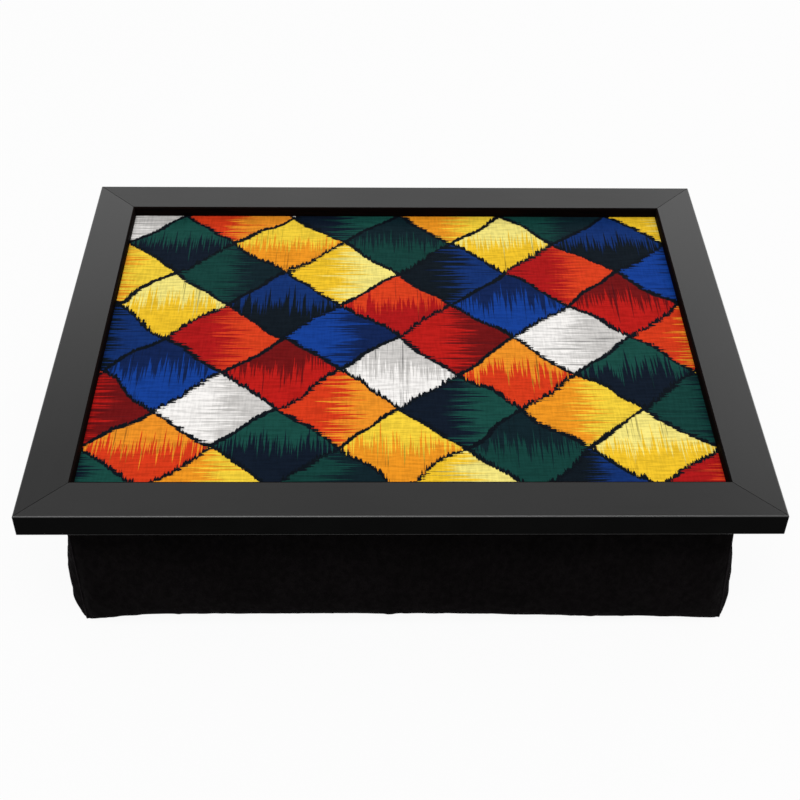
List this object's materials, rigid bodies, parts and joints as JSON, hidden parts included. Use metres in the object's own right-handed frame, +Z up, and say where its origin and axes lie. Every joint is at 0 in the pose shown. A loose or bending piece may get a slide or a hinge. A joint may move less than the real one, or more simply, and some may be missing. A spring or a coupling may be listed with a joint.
{
  "type": "lap tray",
  "caption": "Shallow framed breakfast tray with a printed panel, stuck by hook and loop tape on a bean bag cushion.",
  "frame": {"origin": "on the surface that the cushion stands on, under the middle of the tray", "axes": "+X to the right along the long side, +Y to the back, where the zip is, +Z up"},
  "size_m": [0.44, 0.34, 0.1168],
  "materials": {
    "black_foil": "satin",
    "printed_melamine": "satin",
    "fibreboard": "matte",
    "black_hardboard": "matte",
    "zinc_steel": "satin",
    "black_velour": "matte",
    "black_tape": "matte",
    "white_calico": "matte",
    "black_nylon": "satin"
  },
  "bodies": {
    "cushion": {"cover_front": "black_velour", "cover_right": "black_velour", "cover_back": "black_velour", "cover_left": "black_velour", "cover_bottom": "black_velour", "cover_top": "black_velour", "loop_tape_front": "black_tape", "loop_tape_right": "black_tape", "loop_tape_back": "black_tape", "loop_tape_left": "black_tape", "zip_tape_upper": "black_nylon", "zip_tape_lower": "black_nylon", "zip_coil_upper": "black_nylon", "zip_coil_lower": "black_nylon", "zip_stop_left": "black_nylon", "zip_stop_right": "black_nylon", "bead_liner": "white_calico"},
    "tray": {"front_rail": "black_foil", "right_rail": "black_foil", "back_rail": "black_foil", "left_rail": "black_foil", "print_laminate": "printed_melamine", "panel_board": "fibreboard", "base_board": "black_hardboard", "hook_tape_front": "black_tape", "hook_tape_right": "black_tape", "hook_tape_back": "black_tape", "hook_tape_left": "black_tape", "v_nail_front_left_1": "zinc_steel", "v_nail_front_left_2": "zinc_steel", "v_nail_front_right_1": "zinc_steel", "v_nail_front_right_2": "zinc_steel", "v_nail_back_right_1": "zinc_steel", "v_nail_back_right_2": "zinc_steel", "v_nail_back_left_1": "zinc_steel", "v_nail_back_left_2": "zinc_steel", "framers_point_front_1": "zinc_steel", "framers_point_front_2": "zinc_steel", "framers_point_front_3": "zinc_steel", "framers_point_right_1": "zinc_steel", "framers_point_right_2": "zinc_steel", "framers_point_back_1": "zinc_steel", "framers_point_back_2": "zinc_steel", "framers_point_back_3": "zinc_steel", "framers_point_left_1": "zinc_steel", "framers_point_left_2": "zinc_steel"},
    "zip_slider": {"zip_slider": "zinc_steel"}
  },
  "joints": [
    {"name": "tray_lift", "type": "slide", "parent": "cushion", "child": "tray", "axis": [0, 0, 1], "range_m": [0, 0.12]},
    {"name": "zip_slide", "type": "slide", "parent": "cushion", "child": "zip_slider", "axis": [-1, 0, 0], "range_m": [0, 0.2745]}
  ]
}
